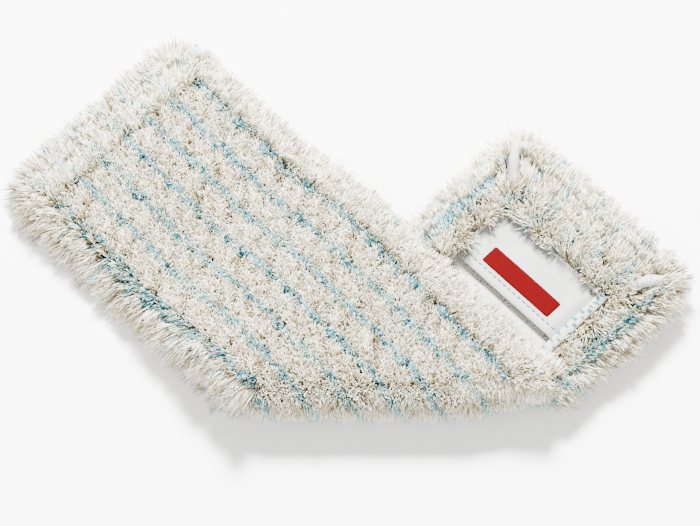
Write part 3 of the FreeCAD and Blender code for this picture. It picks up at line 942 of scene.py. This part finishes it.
def slab(name, upper, lower, material):
    # a closed cloth: two point grids of the same shape, joined all round
    rows, columns = upper.shape[:2]
    points = np.concatenate([upper.reshape(-1, 3), lower.reshape(-1, 3)])
    below = rows * columns
    faces = gridFaces(rows, columns) + gridFaces(rows, columns, below, True)
    rim = list(range(columns))
    rim += [row * columns + columns - 1 for row in range(1, rows)]
    rim += [(rows - 1) * columns + column for column in range(columns - 2, -1, -1)]
    rim += [row * columns for row in range(rows - 2, 0, -1)]
    for first, second in zip(rim, rim[1:] + rim[:1]):
        faces.append((second, first, first + below, second + below))
    return newPiece(name, points, faces, material)


def makeGroundCloth(end):
    start = clothBox[0].x - leftX
    columns, rows = 29, 90
    across = np.linspace(-halfCloth, halfCloth, columns)
    share = np.linspace(0, 1, rows)
    stop = runs[end] + across - 0.5 * mm
    u = start + (stop[None] - start) * share[:, None]
    v = np.tile(across, (rows, 1))
    ripple = 0.25 * mm * softNoise(u, v, 12 * mm, 6.0)
    upper = toRow(end, np.stack([u, v, clothHigh - 0.2 * mm + ripple], -1))
    lower = toRow(end, np.stack([u, v, clothLow + 0.2 * mm + ripple], -1))
    piece = slab(end + "GroundCloth", upper, lower, materials[end + "Ground"])
    finishPiece(piece, end + "_ground_cloth", bodyOf[end])
    return piece


def makeFoldCloth():
    # the ground cloth bends round the fold line
    columns, rows = 60, 17
    across = np.linspace(-halfCloth, halfCloth, columns)
    around = np.linspace(0, math.pi, rows)
    normal = np.array([1.0, -1.0]) / math.sqrt(2)
    layers = []
    for reach in (clothHigh + layerRise - foldLevel - 0.2 * mm, clothLow + layerRise - foldLevel + 0.2 * mm):
        side = np.sin(around)[:, None] * reach + 0.3 * mm
        x = flapX + across[None] + normal[0] * side
        y = midY + across[None] + normal[1] * side
        z = foldLevel + np.cos(around)[:, None] * reach + 0 * x
        layers.append(np.stack([x, y, z], -1))
    piece = slab("foldGroundCloth", layers[0], layers[1], materials["mainGround"])
    finishPiece(piece, "fold_ground_cloth", None)
    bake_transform(piece)


# ---- pocket strap, hem and stitches ----

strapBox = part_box("flap_pocket_strap")
strapFar = farY - strapBox[1].y
strapMouth = farY - strapBox[0].y
strapHalf = (strapBox[1].x - strapBox[0].x) / 2
strapLevel = layerHeight - strapBox[1].z
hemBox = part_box("flap_strap_hem")
hemDepth = hemBox[1].y - hemBox[0].y
stitchLook = {"count": 20, "pitch": 4.2 * mm, "length": 2.8 * mm, "inset": 6 * mm, "radius": 0.42 * mm}
strapLook = {
    "thickness": 0.7 * mm,
    "sink": 1.6 * mm,  # the strap's middle sags towards the ground cloth
    "edgeRise": 2.6 * mm,  # its sewn sides dip to the ground cloth
    "notchRadius": 4 * mm,
    "notchInset": 6 * mm,
}


def strapHeight(u, v):
    # height of the strap's outer face: highest near the mouth, pulled down at its three sewn sides
    fromSide = np.clip((strapHalf - np.abs(v)) / (9 * mm), 0, 1)
    fromFar = np.clip((u - strapFar) / (10 * mm), 0, 1)
    sewn = 1 - smooth(fromSide) * smooth(fromFar)
    wave = 0.25 * mm * softNoise(u, v, 18 * mm, 8.0)
    return strapLevel + strapLook["sink"] * 0.5 + sewn * strapLook["edgeRise"] + wave


def makeStrap(end):
    columns, rows = 61, 33
    v = np.linspace(-strapHalf, strapHalf, columns)[None] + np.zeros((rows, 1))
    fromNotch = (np.abs(v) - strapHalf + strapLook["notchInset"]) / strapLook["notchRadius"]
    notch = np.clip(1 - fromNotch ** 2, 0, 1)
    far = strapFar + strapLook["notchRadius"] * np.sqrt(notch)
    share = np.linspace(0, 1, rows)[:, None]
    u = far + (strapMouth - far) * share
    roll = np.clip((u - strapMouth + 1.2 * mm) / (1.2 * mm), 0, 1)
    groove = np.exp(-((u - strapMouth + stitchLook["inset"]) / (0.9 * mm)) ** 2)
    outer = strapHeight(u, v) + roll ** 2 * 0.5 * mm + groove * 0.45 * mm
    upper = toRow(end, np.stack([u, v, outer], -1))
    lower = toRow(end, np.stack([u, v, outer + strapLook["thickness"]], -1))
    piece = slab(end + "PocketStrap", lower, upper, materials["coatedFabric"])
    finishPiece(piece, end + "_pocket_strap", bodyOf[end])
    return piece


def makeHem(end):
    # the mouth edge folded back under itself, with a round nose
    columns = 61
    v = np.linspace(-strapHalf + 0.6 * mm, strapHalf - 0.6 * mm, columns)
    nose = np.linspace(-math.pi / 2, math.pi / 2, 7)
    thick = strapLook["thickness"]
    rows = []
    for outline in (1.0, 0.45):
        u = np.concatenate([[strapMouth - hemDepth], strapMouth - thick + np.cos(nose) * thick * outline])
        depth = np.concatenate([[1.95], 1.0 - np.sin(nose[::-1]) * outline]) * thick
        rows.append((u, depth))
    grids = []
    for u, depth in rows:
        uu = u[:, None] + 0 * v[None]
        vv = v[None] + 0 * uu
        h = strapHeight(uu, vv) + depth[:, None] + 0.1 * mm
        grids.append(toRow(end, np.stack([uu, vv, h], -1)))
    piece = slab(end + "StrapHem", grids[0], grids[1], materials["coatedFabric"])
    finishPiece(piece, end + "_strap_hem", bodyOf[end])
    return piece


def tubeMesh(lines, radius, sides=6):
    # round tubes along several point lines, all in one closed mesh
    points, faces = [], []
    for line in lines:
        line = np.asarray(line)
        tangent = np.gradient(line, axis=0)
        tangent /= np.linalg.norm(tangent, axis=1, keepdims=True) + 1e-12
        helper = np.where(np.abs(tangent[:, 2:3]) > 0.9, [[1.0, 0, 0]], [[0, 0, 1.0]])
        side = np.cross(tangent, helper)
        side /= np.linalg.norm(side, axis=1, keepdims=True) + 1e-12
        other = np.cross(tangent, side)
        start = len(points)
        count = len(line)
        for step in range(count):
            size = radius * (0.55 if step in (0, count - 1) else 1.0)
            for corner in range(sides):
                angle = corner * 2 * math.pi / sides
                outwards = side[step] * math.cos(angle) + other[step] * math.sin(angle)
                points.append(line[step] + outwards * size)
        for step in range(count - 1):
            for corner in range(sides):
                after = (corner + 1) % sides
                a = start + step * sides
                faces.append((a + corner, a + after, a + sides + after, a + sides + corner))
        faces.append(tuple(start + corner for corner in reversed(range(sides))))
        faces.append(tuple(start + (count - 1) * sides + corner for corner in range(sides)))
    return points, faces


def makeStitches(end):
    lines = []
    for number in range(stitchLook["count"]):
        middle = (number - (stitchLook["count"] - 1) / 2) * stitchLook["pitch"]
        share = np.linspace(-0.5, 0.5, 7)
        v = middle + share * stitchLook["length"]
        u = np.full(7, strapMouth - stitchLook["inset"])
        h = strapHeight(u, v) + 0.1 * mm - 0.3 * mm * np.cos(share * math.pi)
        lines.append(toRow(end, np.stack([u, v, h], -1)))
    points, faces = tubeMesh(lines, stitchLook["radius"])
    piece = newPiece(end + "HemStitches", points, faces, materials["sewingThread"])
    finishPiece(piece, end + "_hem_stitches", bodyOf[end])
    return piece


bindingLook = {
    "pitch": 1.15 * mm,
    "radius": 1.25 * mm,
    "thread": 0.5 * mm,
    "level": 3.2 * mm,
    "bandRadius": 3.1 * mm,  # the right side of the folded end shows a wide band
    "bandLift": 4.2 * mm,
    "sides": 5,
}


def makeBinding(end, node, start, stop, band):
    # overlock thread wound over the edge from start to stop, plan points in the end's flat frame
    start, stop = np.array(start), np.array(stop)
    length = np.linalg.norm(stop - start)
    turns = int(length / bindingLook["pitch"])
    steps = 12
    share = np.linspace(0, 1, turns * steps + 1)
    plan = start + (stop - start) * share[:, None]
    across = np.array([-(stop - start)[1], (stop - start)[0]]) / length
    angle = share * turns * 2 * math.pi
    wide = bindingLook["bandRadius"] if band else bindingLook["radius"]
    lift = bindingLook["bandLift"] if band else 0
    u = plan[:, 0] + across[0] * np.cos(angle) * wide
    v = plan[:, 1] + across[1] * np.cos(angle) * wide
    h = clothLow - bindingLook["level"] / 2 - lift + np.sin(angle) * bindingLook["radius"]
    line = toRow(end, np.stack([u, v, h], -1))
    points, faces = tubeMesh([line], bindingLook["thread"], bindingLook["sides"])
    piece = newPiece(node.split("_")[0] + node.split("_")[1].capitalize() + "Binding", points, faces,
                     materials["overlock"])
    if band:
        piece.data.materials.append(materials["speckThread"])
        for number in range(turns - 1):  # blue yarn ends show between the turns, in two broken lines
            if number % 3 == 2 or math.sin(number * 3.7) > 0.8:
                continue
            at = 7 + 2 * (number // 3 % 2) + int(1.5 * math.sin(number * 7.3))
            first = (number * steps + at) * bindingLook["sides"]
            for face in range(first, first + 2 * bindingLook["sides"]):
                piece.data.polygons[face].material_index = 1
    finishPiece(piece, node, bodyOf[end])
    return piece


def makeBindings(end, sides):
    line = turnInner - 1.3 * mm
    begin = endTurn + 1.2 * mm
    for side, name in sides.items():
        band = name == "right"
        at = side * (line - (1.2 * mm if band else 0))
        stop = runs[end] + side * line - (7 * mm if band else 2 * mm)
        makeBinding(end, "%s_%s_binding" % (end, name), (begin, at), (stop, at), band)
    makeBinding(end, end + "_end_binding", (begin, -line + 1 * mm), (begin, line - 1 * mm), False)


def makeCornerSeam(end, side, name):
    # a soft roll along the mitre, wound closely with thread
    along = np.array([math.sin(seamLook["angle"]), -side * math.cos(seamLook["angle"])])
    middle = np.array([seamLook["inFromEnd"], side * (halfCover - seamLook["inFromSide"])])
    turns = int(seamLook["length"] / seamLook["pitch"])
    share = np.linspace(-0.5, 0.5, turns * 10 + 1)
    angle = share * turns * 2 * math.pi
    fullness = np.sqrt(np.clip(1 - (2 * share) ** 6, 0.05, 1)) * (1 + 0.06 * np.sin(share * 17))
    radius = seamLook["radius"] * fullness
    sideways = np.array([-along[1], along[0]])
    bow = 1.2 * mm * np.cos(share * math.pi)
    plan = middle + along * (seamLook["length"] * share)[:, None]
    plan = plan + sideways * (bow + np.cos(angle) * radius)[:, None]
    level = seamLook["levels"][side] + seamLook["dip"] * smooth(np.abs(share) * 2 - 0.15)
    if end == "main":
        level = level * 0 + seamLook["radius"] + 1.5 * mm
    line = toRow(end, np.stack([plan[:, 0], plan[:, 1], level + np.sin(angle) * radius], -1))
    points, faces = tubeMesh([line], seamLook["thread"], 5)
    piece = newPiece("%s%sCornerSeam" % (end, name.capitalize()), points, faces, materials["seamWelt"])
    finishPiece(piece, "%s_%s_corner_seam" % (end, name), bodyOf[end])


def makeLabel():
    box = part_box("flap_strap_label")
    halfLength = (box[1].x - box[0].x) / 2
    halfWidth = (box[1].y - box[0].y) / 2
    middle = farY - (box[0].y + box[1].y) / 2
    columns, rows = 41, 13
    v = np.linspace(-halfLength, halfLength, columns)[None] + np.zeros((rows, 1))
    corner = 0.5 * mm
    inset = np.clip(np.abs(v) - halfLength + corner, 0, corner)
    half = halfWidth - corner + np.sqrt(np.maximum(corner ** 2 - inset ** 2, 0))
    u = middle + np.linspace(-1, 1, rows)[:, None] * half
    base = strapHeight(u, v)
    upper = toRow("flap", np.stack([u, v, base - 0.35 * mm], -1))
    lower = toRow("flap", np.stack([u, v, base - 0.02 * mm], -1))
    piece = slab("strapLabel", lower, upper, materials["redLabel"])
    finishPiece(piece, "flap_strap_label", "end_flap")
    return piece


def makeEnd(end, sides):
    ground = makeGroundCloth(end)
    makeRows(end)
    seed = 300 if end == "main" else 350
    makeEndRim(end, seed)
    for side, name in sides.items():
        makeSideRim(end, side, name, seed + 2 + side)
        makeCornerSeam(end, side, name)
    makeBindings(end, sides)
    strap = makeStrap(end)
    hem = makeHem(end)
    stitches = makeStitches(end)
    if end == "flap":
        makeLabel()
    print("made the", end, "end")


makeEnd("main", {1: "rear", -1: "front"})
makeEnd("flap", {1: "left", -1: "right"})
makeFoldCloth()
makeFoldPile()
print("made the fold")


# ---- floor, light and camera ----

studio = {
    "floorColor": (0.90, 0.90, 0.90, 1),
    "floorShade": (0.86, 0.86, 0.86, 1),
    "floorSize": 6.0,
    "world": 0.9,
    "lights": [  # name, place, size, power
        ("keyLight", (-0.9, 0.9, 1.7), 0.5, 500),
        ("fillLight", (1.3, -0.6, 1.4), 1.6, 40),
        ("frontLight", (-0.3, -1.5, 1.2), 1.4, 22),
    ],
}
view = {
    "azimuth": math.radians(45),
    "elevation": math.radians(65),
    "distance": 2.41,
    "lens": 194.0,
    "aim": (8.3 * mm, -6.9 * mm, 0),
}


def makeStudio():
    half = studio["floorSize"] / 2
    corners = [(-half, -half, 0), (half, -half, 0), (half, half, 0), (-half, half, 0)]
    material, tree, shader = newMaterial("paleFloor", 0.9, 0.0)
    grain = noiseNode(tree, objectPlace(tree), 3.0)
    share = mathNode(tree, "MULTIPLY", grain, 0.05)
    color = mixColors(tree, share, studio["floorColor"], studio["floorShade"])
    tree.links.new(color, shader.inputs["Base Color"])
    floor = newPiece("floor", corners, [(0, 1, 2, 3)], material, False)
    world = bpy.data.worlds.new("studioWorld")
    scene.world = world
    world.use_nodes = True
    background = world.node_tree.nodes["Background"]
    background.inputs["Color"].default_value = (1, 1, 1, 1)
    background.inputs["Strength"].default_value = studio["world"]
    for name, place, size, power in studio["lights"]:
        lamp = bpy.data.lights.new(name, "AREA")
        lamp.size = size
        lamp.energy = power
        holder = bpy.data.objects.new(name, lamp)
        holder.location = place
        holder.rotation_euler = (Vector((0, 0, 0)) - Vector(place)).to_track_quat("-Z", "Y").to_euler()
        scene.collection.objects.link(holder)


def makeCamera():
    lens = bpy.data.cameras.new("camera")
    lens.lens = view["lens"]
    lens.clip_end = 20
    camera = bpy.data.objects.new("camera", lens)
    flat = math.cos(view["elevation"]) * view["distance"]
    aim = Vector(view["aim"])
    camera.location = aim + Vector((
        flat * math.sin(view["azimuth"]),
        -flat * math.cos(view["azimuth"]),
        math.sin(view["elevation"]) * view["distance"],
    ))
    camera.rotation_euler = (aim - camera.location).to_track_quat("-Z", "Y").to_euler()
    scene.collection.objects.link(camera)
    scene.camera = camera


makeStudio()
makeCamera()
print("placed the floor, lights and camera")
